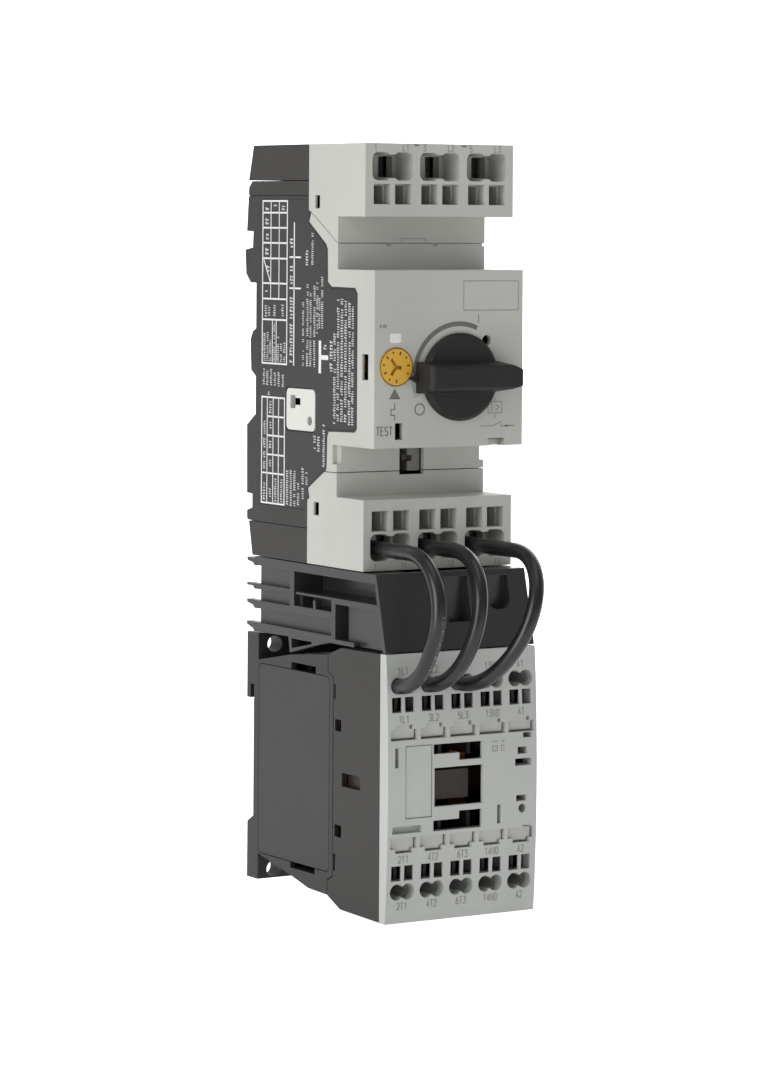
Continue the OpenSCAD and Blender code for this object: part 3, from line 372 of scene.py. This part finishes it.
# Strokes of the generic letters and digits, in a cell 0.6 wide and 1 tall
GLYPHS = {
    "1": [[(.08, .75), (.35, 1), (.35, 0)]],
    "2": [[(0, .8), (.15, 1), (.45, 1), (.6, .8), (.6, .6), (0, 0), (.6, 0)]],
    "3": [[(0, 1), (.6, 1), (.28, .6), (.45, .6), (.6, .42), (.6, .18), (.45, 0), (.15, 0), (0, .15)]],
    "4": [[(.45, 0), (.45, 1), (0, .3), (.62, .3)]],
    "5": [[(.58, 1), (.05, 1), (.03, .56), (.4, .6), (.6, .42), (.6, .18), (.42, 0), (.12, 0), (0, .14)]],
    "6": [[(.5, 1), (.18, .82), (0, .45), (0, .18), (.15, 0), (.45, 0), (.6, .18), (.6, .4),
           (.45, .56), (.06, .5)]],
    "A": [[(0, 0), (.3, 1), (.6, 0)], [(.12, .35), (.48, .35)]],
    "E": [[(.55, 1), (0, 1), (0, 0), (.55, 0)], [(0, .52), (.45, .52)]],
    "L": [[(0, 1), (0, 0), (.5, 0)]],
    "N": [[(0, 0), (0, 1), (.55, 0), (.55, 1)]],
    "O": [[(.15, 0), (0, .2), (0, .8), (.15, 1), (.45, 1), (.6, .8), (.6, .2), (.45, 0), (.15, 0)]],
    "S": [[(.55, .85), (.42, 1), (.13, 1), (0, .85), (0, .65), (.12, .53), (.45, .47), (.57, .35),
           (.57, .15), (.43, 0), (.13, 0), (0, .15)]],
    "T": [[(0, 1), (.6, 1)], [(.3, 1), (.3, 0)]],
}


def arc(cx, cz, r, start, end, steps=24):
    turns = [math.radians(start + (end - start) * i / steps) for i in range(steps + 1)]
    return [(cx + r * math.cos(t), cz + r * math.sin(t)) for t in turns]


SUNK = 0.02             # how far a mark reaches into its face
SHARPEST_MITRE = 0.45   # limits how far a line's corner sticks out


class Ink:
    """Thin raised marks of one colour on one face, gathered into one piece."""

    def __init__(self, name, finish, place, rise=0.03):
        self.name, self.finish, self.place, self.rise = name, finish, place, rise
        self.bm = bmesh.new()

    def pair(self, u, v):
        """A point just under the face and the one above it."""
        under, over = self.place(u, v, -SUNK), self.place(u, v, self.rise)
        return self.bm.verts.new(under), self.bm.verts.new(over)

    def shape(self, points):
        pairs = [self.pair(u, v) for u, v in points]
        self.bm.faces.new([p[1] for p in pairs])
        self.bm.faces.new([p[0] for p in reversed(pairs)])
        for a, b in zip(pairs, pairs[1:] + pairs[:1]):
            self.bm.faces.new((a[0], b[0], b[1], a[1]))

    def box(self, u0, v0, u1, v1):
        self.shape([(u0, v0), (u1, v0), (u1, v1), (u0, v1)])

    def line(self, points, width):
        closed = points[0] == points[-1] and len(points) > 3
        if closed:
            points = points[:-1]
        count, rows = len(points), []
        for i, (u, v) in enumerate(points):
            before = points[i - 1] if i or closed else None
            after = points[(i + 1) % count] if i + 1 < count or closed else None
            ways = []
            for a, b in ((before, (u, v)), ((u, v), after)):
                if a and b:
                    ways.append((Vector(b) - Vector(a)).normalized())
            across = [Vector((-w.y, w.x)) for w in ways]
            mitre = sum(across, Vector((0, 0))).normalized()
            reach = width / 2 / max(mitre.dot(across[0]), SHARPEST_MITRE)
            rows.append([self.pair(u + mitre.x * s * reach, v + mitre.y * s * reach) for s in (1, -1)])
        for a, b in zip(rows, rows[1:] + (rows[:1] if closed else [])):
            (a0, a1), (b0, b1) = a, b
            self.bm.faces.new((a0[1], b0[1], b1[1], a1[1]))
            self.bm.faces.new((a0[0], a1[0], b1[0], b0[0]))
            self.bm.faces.new((a0[0], b0[0], b0[1], a0[1]))
            self.bm.faces.new((a1[1], b1[1], b1[0], a1[0]))
        if not closed:
            for end in (rows[0], rows[-1]):
                self.bm.faces.new((end[0][0], end[0][1], end[1][1], end[1][0]))

    def text(self, word, u, v, height, width, stroke):
        """Stroke letters, centred on u and standing on v."""
        step = width / len(word)
        for i, letter in enumerate(word):
            left = u - width / 2 + step * i + step * 0.1
            for path in GLYPHS.get(letter, []):
                self.line([(left + x * step * 1.1, v + y * height) for x, y in path], stroke)

    def done(self, body="housing"):
        bmesh.ops.recalc_face_normals(self.bm, faces=self.bm.faces)
        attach(new_object(self.name, self.bm, self.finish), body)


def ink(name, colour, rough=0.45, fade=0.8):
    """Pad-printed ink, also used for marks of painted shade: slightly uneven cover over a faint grain."""
    g = Graph(name)
    patch = g.noise(900, 4, 0.7)
    tone = g.mix(g.ramp(patch, 0.35, 0.7), colour, shade(colour, fade))
    return g.finish(tone, g.ramp(patch, 0.3, 0.7, rough - 0.06, rough + 0.08),
                    normal=g.bump(patch, 0.006 * MM, 0.5))


# The grey ink draws the cap's printed symbols and also dark slot marks of painted shade on the terminal
# face.
GREY_PRINT_AND_SHADE_INK = ink("grey_print", srgb(112, 110, 103))
FAINT_INK = ink("faint_grey_print", srgb(140, 141, 135), fade=0.9)
WHITE_INK = ink("white_print", srgb(232, 232, 230), fade=0.9)
SMALL_INK = ink("small_white_print", srgb(206, 206, 204), fade=0.8)
# The brown ink draws the dial's printed strokes and also a dark ring of painted shade round the dial.
DIAL_PRINT_AND_SHADE_INK = ink("brown_dial_print_and_gap_shade", srgb(92, 52, 18))

cap_marks = Ink("cap_symbols", GREY_PRINT_AND_SHADE_INK, flat_front(CAP))
cap_marks.line(arc(*HANDLE_AT, 13.55, 66.5, 176), 1.25)
cap_marks.shape([(-16.4, -8.2), (-18.1, -11.0), (-14.7, -11.0)])
cap_marks.line([(-16.38, -12.0), (-16.38, -13.55), (-17.5, -13.55), (-17.5, -15.05), (-16.38, -15.05),
                (-16.38, -16.45)], 0.28)
cap_marks.line(arc(-8.9, -13.7, 1.42, 0, 360, 28), 0.34)
cap_marks.text("TEST", -19.35, -20.15, 2.15, 5.1, 0.3)
cap_marks.done()

cap_fine = Ink("cap_fine_symbols", FAINT_INK, flat_front(CAP))
for r in (12.95, 14.15):
    cap_fine.line(arc(*HANDLE_AT, r, 177, 201, 8), 0.2)
cap_fine.line(arc(*HANDLE_AT, 13.55, 200.6, 201.2, 2), 1.0)
cap_fine.line([(8.87, 10.4), (8.87, 8.1)], 0.3)
cap_fine.line([(11.95, -12.2), (16.2, -12.2), (16.2, -15.1), (11.95, -15.1), (11.95, -12.2)], 0.24)
cap_fine.line([(13.1, -12.3), (13.1, -15.0)], 0.2)
cap_fine.line([(14.2, -12.9), (15.4, -13.65), (14.2, -14.4)], 0.24)
cap_fine.line([(14.05, -11.0), (14.05, -12.1)], 0.24)
cap_fine.line([(14.05, -15.2), (14.05, -16.4)], 0.24)
cap_fine.line([(9.45, -18.35), (13.5, -18.4), (16.0, -17.3)], 0.24)
cap_fine.line([(16.1, -17.8), (16.1, -19.0)], 0.2)
cap_fine.line([(16.25, -18.45), (20.05, -18.5)], 0.24)
cap_fine.shape([(17.2, -18.1), (18.5, -18.48), (17.2, -18.85)])
for x0, x1 in ((-21.0, -20.4), (-20.1, -18.9)):
    cap_fine.line([(x0, 7.6), (x1, 7.6)], 0.9)
cap_fine.done()

value_field = Ink("cap_value_field", WHITE_INK, flat_front(CAP))
CORNERS = ((-17.4, 5.2, 90), (-17.4, 3.85, 180), (-15.1, 3.85, 270), (-15.1, 5.2, 0))
value_field.shape([p for x, z, start in CORNERS for p in arc(x, z, 0.5, start, start + 90, 5)])
value_field.done()

SCALE_R = 4.05          # outer ends of the dial's strokes, which are long and short in turn
dial_strokes_and_gap_shade = Ink("dial_print_and_gap_shade", DIAL_PRINT_AND_SHADE_INK, flat_front(CAP + 0.3))
for i in range(10):
    t = math.radians(-90 - 33 * i)
    ends = (SCALE_R - (0.55 if i % 2 else 0.85), SCALE_R)
    dial_strokes_and_gap_shade.line([(DIAL_AT[0] + r * math.cos(t), DIAL_AT[1] + r * math.sin(t)) for r in ends], 0.42)
# Painted shade: a thin dark ring at the dial's rim stands in for the shade in the gap round the dial.
dial_strokes_and_gap_shade.line(arc(*DIAL_AT, 4.77, 0, 360, 48), 0.2)
dial_strokes_and_gap_shade.done("dial")

terminal = Ink("terminal_face_numbers", FAINT_INK, flat_front(TERMINAL))
for name, x in (("1", -19.4), ("L1", -10.35), ("3", -4.75), ("L2", 3.35), ("5", 9.5), ("L3", 17.7)):
    terminal.text(name, x, 52.25, 1.65, 1.05 * len(name), 0.24)
for i, x in enumerate(POLES):
    terminal.text(str(2 * i + 2), x - 4.6, -54.55, 1.3, 0.95, 0.2)
    terminal.text("T" + str(i + 1), x + 4.0, -54.55, 1.3, 1.9, 0.2)
terminal.done()

# Painted shade: dark lens-shaped marks darken two small slots in the terminal face.
slot_shade_marks = Ink("terminal_face_slot_shade", GREY_PRINT_AND_SHADE_INK, flat_front(TERMINAL))
for x, z in ((-7.15, 53.75), (7.35, 53.7)):
    slot_shade_marks.shape([(x - 0.85, z - 0.05), (x - 0.5, z - 0.2), (x + 0.6, z - 0.2), (x + 0.85, z),
                 (x + 0.5, z + 0.12), (x - 0.6, z + 0.12)])
slot_shade_marks.done()

tab = Ink("recess_latch_tab", FAINT_INK, flat_front(RECESS))
tab.line([(-3.65, 28.85), (-3.65, 29.8), (4.2, 29.8), (4.2, 28.85)], 0.2)
tab.done()

front = Ink("contactor_terminal_marks", FAINT_INK, crowned_front)
UPPER = ("1L1", "3L2", "5L3", "13NO", "A1")
LOWER = ("2T1", "4T2", "6T3", "14NO", "A2")
for names, rows in ((UPPER, (-80.15, -92.3)), (LOWER, (-127.6, -139.5))):
    for x, name in zip(CONTACTOR_POLES, names):
        for z in rows:
            front.text(name, x + 0.1, z, 1.75, 1.08 * len(name), 0.27)
front.done()


def entry_outline(x, z, r, steps=14):
    """Two round lobes joined by a waist, as the contactor's wire entries are shaped."""
    lobe, waist = 1.6, 1.35
    turn = math.degrees(math.asin(waist / r))
    right = arc(x + lobe, z, r, -180 + turn, 180 - turn, steps)
    left = arc(x - lobe, z, r, turn, 360 - turn, steps)
    return right + left


LINKED = 3              # the first upper entries hold the links and get no liner
LINER_RINGS = ((64.3, 2.045), (64.3, 1.99), (55.0, 1.90), (55.0, 2.045))    # depth, radius


def entry_liners():
    """Thin moulded liners inside the contactor's free wire entries."""
    bm = bmesh.new()
    for column, x in enumerate(CONTACTOR_POLES):
        for z in (ENTRY_UP, ENTRY_DOWN):
            if z == ENTRY_UP and column < LINKED:
                continue
            rings = [[bm.verts.new(Vector((u, -d, v)) * MM) for u, v in entry_outline(x, z, r)]
                     for d, r in LINER_RINGS]
            for a, b in zip(rings, rings[1:] + rings[:1]):
                for i in range(len(a)):
                    j = (i + 1) % len(a)
                    bm.faces.new((a[i], a[j], b[j], b[i]))
    bmesh.ops.recalc_face_normals(bm, faces=bm.faces)
    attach(new_object("entry_liners", bm, COVER), "housing")


entry_liners()

# Side label: ruled tables and rows of small unreadable marks
rules = Ink("side_label_rules", WHITE_INK, left_side)


def ruled(u0, u1, v0, v1, rows, columns, width=0.45):
    rules.line([(u0, v0), (u1, v0), (u1, v1), (u0, v1), (u0, v0)], width)
    for v, a, b in rows:
        rules.line([(a, v), (b, v)], width)
    for u, a, b in columns:
        rules.line([(u, a), (u, b)], width * 0.8)


ruled(3.4, 16.3, 39.4, -3.6, [(v, 3.4, 16.3) for v in (36.3, 32.3, 28.3, 24.2, 17.6, 13.5, 8.0)],
      [(7.7, 39.4, 13.5), (12.05, 39.4, 13.5), (8.75, 8.0, -3.6), (10.75, 8.0, -3.6)])
rules.line([(4.0, 23.8), (7.6, 17.8)], 0.4)
rules.line([(20.0, 33.8), (20.0, -3.8)], 0.5)
for v in (24.65, 16.5):
    rules.line([(17.6, v), (23.5, v)], 0.45)
rules.line([(33.5, 3.2), (33.5, -5.3)], 1.25)
rules.box(34.0, -1.75, 37.7, -0.55)
ruled(3.4, 15.4, -12.6, -40.6, [(v, 6.3, 15.4) for v in (-17.65, -22.7, -27.75)] + [(-32.7, 3.4, 15.4)],
      [(6.3, -12.6, -40.6), (9.4, -12.6, -40.6), (12.3, -12.6, -40.6)])
rules.done()

small = Ink("side_label_small_print", SMALL_INK, left_side, 0.025)


def small_print(u, v_top, v_bottom, size, seed):
    """One row of small marks, read upwards like the rest of the label."""
    state, v = seed * 7919 + 13, v_bottom
    while v < v_top - size * 0.5:
        state = (state * 1103515245 + 12345) % 2147483648
        kind = (state >> 8) % 11
        wide = size * (0.34 + 0.05 * ((state >> 12) % 4))
        if kind:
            low_cut = 0.25 * size * ((state >> 16) % 3 == 0)
            small.box(u - size / 2 + low_cut, v, u + size / 2, v + wide * 0.6)
            if kind % 2:
                small.box(u - size / 2 + low_cut, v + wide * 0.6, u - size / 8, v + wide)
        v += wide + size * (0.15 if kind else 0.3)


# Rows of small print: distance from the rail seat, top, bottom, size. Row n is drawn with seed n.
ROWS = [(18.6, 30.5, 26.0, 1.6), (18.6, 23.2, 17.6, 1.5), (18.6, 15.0, -3.0, 1.5),
        (24.8, 13.2, -3.6, 0.9), (27.0, 18.0, -3.7, 1.0), (28.6, 16.0, -3.7, 0.9),
        (30.6, 17.6, -3.8, 1.0),
        (32.0, 19.6, 5.0, 0.9), (34.5, 20.3, 6.4, 1.0), (33.1, 14.6, 6.4, 0.9), (26.6, 27.0, 22.6, 1.2),
        (29.4, 31.6, 22.8, 1.0), (36.0, 3.0, 1.0, 1.5),
        (39.2, 3.6, -4.6, 1.4), (40.9, 6.0, -18.0, 1.15), (42.6, 14.6, -18.0, 1.15),
        (44.5, 14.9, -18.1, 1.2),
        (46.4, 14.3, -18.1, 1.15), (48.3, 13.6, -18.0, 1.15), (49.9, 13.0, -18.0, 1.0),
        (4.4, -4.4, -9.3, 1.0), None, (6.2, -4.6, -9.4, 1.0), (8.2, -4.8, -9.4, 1.0),
        (10.2, -5.0, -9.4, 1.0), (12.2, -5.2, -9.6, 1.0), (14.4, -5.8, -9.6, 1.0), (7.0, -10.7, -12.0, 1.0),
        (5.6, 38.6, 37.0, 1.7), (5.6, 35.4, 33.2, 1.7), (5.6, 31.4, 29.2, 1.7), (5.6, 27.3, 25.2, 1.7),
        (6.2, 22.8, 19.6, 1.5), (5.2, 16.8, 14.2, 1.6), (9.9, 38.8, 37.0, 1.5), (14.2, 38.8, 37.0, 1.5),
        (5.2, 12.4, 8.8, 1.2), (6.9, 12.0, 9.0, 1.1), (9.8, 12.4, 9.0, 1.2), (14.0, 12.4, 9.0, 1.2),
        (4.6, 4.6, -3.0, 1.0), (6.2, 5.2, -3.0, 1.0), (7.6, 3.2, -3.0, 0.8), (9.75, 7.4, -3.0, 0.8),
        (11.8, 4.0, -3.0, 1.0), (13.4, 2.6, -3.0, 1.0), (15.1, 4.2, -3.0, 1.0),
        (4.8, -18.6, -31.6, 1.1), (7.9, -13.2, -16.8, 1.2), (7.9, -18.4, -21.8, 1.2),
        (7.9, -23.4, -27.0, 1.2), (7.9, -28.4, -31.8, 1.2), (4.8, -33.8, -39.8, 1.2),
        (7.9, -36.4, -39.0, 1.1), (10.8, -33.4, -40.0, 1.1), (13.9, -33.6, -40.0, 1.1),
        (17.0, -30.7, -40.4, 1.1), (18.9, -29.4, -40.6, 1.1), (20.8, -30.7, -40.6, 1.0),
        (22.7, -33.8, -40.2, 1.0), (25.0, -30.2, -38.4, 1.1), (27.0, -31.0, -34.6, 1.0),
        (31.0, -21.2, -25.0, 1.2), (33.0, -21.2, -25.6, 1.2), (35.7, -18.3, -29.4, 1.1)]
for seed, row in enumerate(ROWS, 1):
    if row:             # None holds a number, so the rows after it keep their marks
        small_print(*row, seed)
small.done()

# A worn row of small pale marks along the first link
link = NODES["link_wire_1"]


def seen_from_front(u, v):
    """Where a straight look from the front meets the link: hit or not, place, normal."""
    return link.ray_cast(Vector((u, -200, v)) * MM, Vector((0, 1, 0)))[:3]


def on_link(u, v, rise):
    hit, at, normal = seen_from_front(u, v)
    return at + normal * rise * MM if hit else Vector((u, -75, v)) * MM


def link_span(v):
    """The link's left and right edges at this height, found in steps of a quarter millimetre."""
    hits = [quarter / 4 for quarter in range(-100, 60) if seen_from_front(quarter / 4, v)[0]]
    return (hits[0], hits[-1]) if hits else None


worn = Ink("link_worn_print", SMALL_INK, on_link, 0.02)
for i in range(15):
    v = -64.0 - i * 1.12
    ends = [link_span(v + dv) for dv in (0, -0.62)]
    if all(ends):
        left, right = [[a + (b - a) * share for a, b in ends]
                       for share in (0.56, 0.80 if i % 3 else 0.72)]
        worn.box(left[0], v, right[0], v - 0.2)
        if i % 4:
            worn.box(left[1], v - 0.5, right[1], v - 0.68)
worn.done()

# Marking field code on the contactor: a faint block of short bars
code = Ink("contactor_code_field", FAINT_INK, crowned_front, 0.02)
for row in range(6):
    for col in range(6):
        if (row * 5 + col * 3 + row * col) % 4 != 1:
            code.box(8.7 + col * 0.68, -98.9 - row * 0.6, 9.15 + col * 0.68, -98.5 - row * 0.6)
code.done()


# ---------------------------------------------------------------- stage, light and camera

MIDDLE = (0, -0.03, -0.04)          # what the lamps are aimed at
LAMPS = (                           # name, place, size, watts
    ("key_left", (-1.5, -0.35, 0.35), (1.0, 1.4), 16.6),
    ("fill_front", (0.25, -1.7, -0.15), (1.2, 1.2), 1.6),
    ("top", (-0.1, -0.3, 1.4), (1.0, 1.0), 2.7),
    ("back_right", (1.2, 1.1, 0.5), (1.0, 1.0), 7),
)
WORLD_LIGHT = 0.26
FLOOR_GAP = 0.0005                  # keeps the floor clear of the object
CAMERA_AT = (-0.5332, -0.8957, 0.03525)
CAMERA_TURN, CAMERA_ROLL = math.radians(-31.695), 0.0061
LENS_MM, LENS_SHIFT = 130.5, -0.2961


def stage_material():
    g = Graph("paper_sweep")
    cloud = g.noise(1.5, 2)
    tone = g.mix(g.ramp(cloud, 0.3, 0.7), (0.86, 0.86, 0.86, 1), (0.9, 0.9, 0.9, 1))
    seen = g.node("ShaderNodeLightPath").outputs["Is Camera Ray"]
    return g.finish(tone, 0.9, Emission_Color=(1, 1, 1, 1), Emission_Strength=g.ramp(seen, 0, 1, 0.45, 1.0))


def sweep():
    """Pale floor that curves up into a backdrop, square to the camera."""
    side = Vector((0.851, -0.525, 0))
    away = Vector((0.5254, 0.8509, 0))
    floor_z = cad_box[0][2] - FLOOR_GAP
    bend_at, bend_r = 1.2, 0.8
    angles = [a * math.pi / 20 for a in range(1, 11)]
    profile = [(-4.0, 0.0), (bend_at, 0.0)]
    profile += [(bend_at + bend_r * math.sin(a), bend_r * (1 - math.cos(a))) for a in angles]
    profile += [(2.0, 4.0)]
    bm = bmesh.new()
    rows = [[bm.verts.new(away * t + side * s + Vector((0, 0, floor_z + h))) for s in (-4, 4)]
            for t, h in profile]
    for a, b in zip(rows, rows[1:]):
        bm.faces.new((a[0], a[1], b[1], b[0])).smooth = True
    new_object("paper_sweep", bm, stage_material())


def area(name, at, size, watts):
    """A soft white lamp aimed at the object, which the camera doesn't see."""
    lamp = bpy.data.lights.new(name, "AREA")
    lamp.shape = "RECTANGLE"
    lamp.size, lamp.size_y = size
    lamp.energy = watts
    obj = bpy.data.objects.new(name, lamp)
    obj.location = at
    obj.rotation_euler = (Vector(MIDDLE) - Vector(at)).to_track_quat("-Z", "Y").to_euler()
    obj.visible_camera = False
    bpy.context.scene.collection.objects.link(obj)


def studio_world(strength):
    """White all round to the camera, and a soft light of this strength to the object."""
    world = bpy.data.worlds.new("studio")
    world.use_nodes = True
    nodes, links = world.node_tree.nodes, world.node_tree.links
    seen = nodes.new("ShaderNodeLightPath")
    level = nodes.new("ShaderNodeMapRange")
    level.inputs["To Min"].default_value = strength
    links.new(seen.outputs["Is Camera Ray"], level.inputs["Value"])
    sky = nodes["Background"]
    sky.inputs["Color"].default_value = (1, 1, 1, 1)
    links.new(level.outputs["Result"], sky.inputs["Strength"])
    bpy.context.scene.world = world


sweep()
for lamp in LAMPS:
    area(*lamp)
studio_world(WORLD_LIGHT)
bpy.context.scene.view_settings.view_transform = "Standard"

lens = bpy.data.cameras.new("front_left")
lens.sensor_width = 36
lens.lens = LENS_MM
lens.clip_start = 0.05
camera = bpy.data.objects.new("front_left", lens)
turn = Matrix.Rotation(CAMERA_TURN, 4, "Z") @ Matrix.Rotation(math.radians(90), 4, "X")
camera.matrix_world = Matrix.Translation(CAMERA_AT) @ turn @ Matrix.Rotation(CAMERA_ROLL, 4, "Z")
bpy.context.scene.collection.objects.link(camera)
bpy.context.scene.camera = camera

# The lens is shifted down only from this spot, so the camera can be moved round the object
shift = lens.driver_add("shift_y").driver
shift.type = "SCRIPTED"
camera_x = shift.variables.new()
camera_x.name = "x"
camera_x.type = "TRANSFORMS"
camera_x.targets[0].id = camera
camera_x.targets[0].transform_type = "LOC_X"
camera_x.targets[0].transform_space = "WORLD_SPACE"
shift.expression = f"{LENS_SHIFT} if abs(x + {-CAMERA_AT[0]}) < 0.0001 else 0"
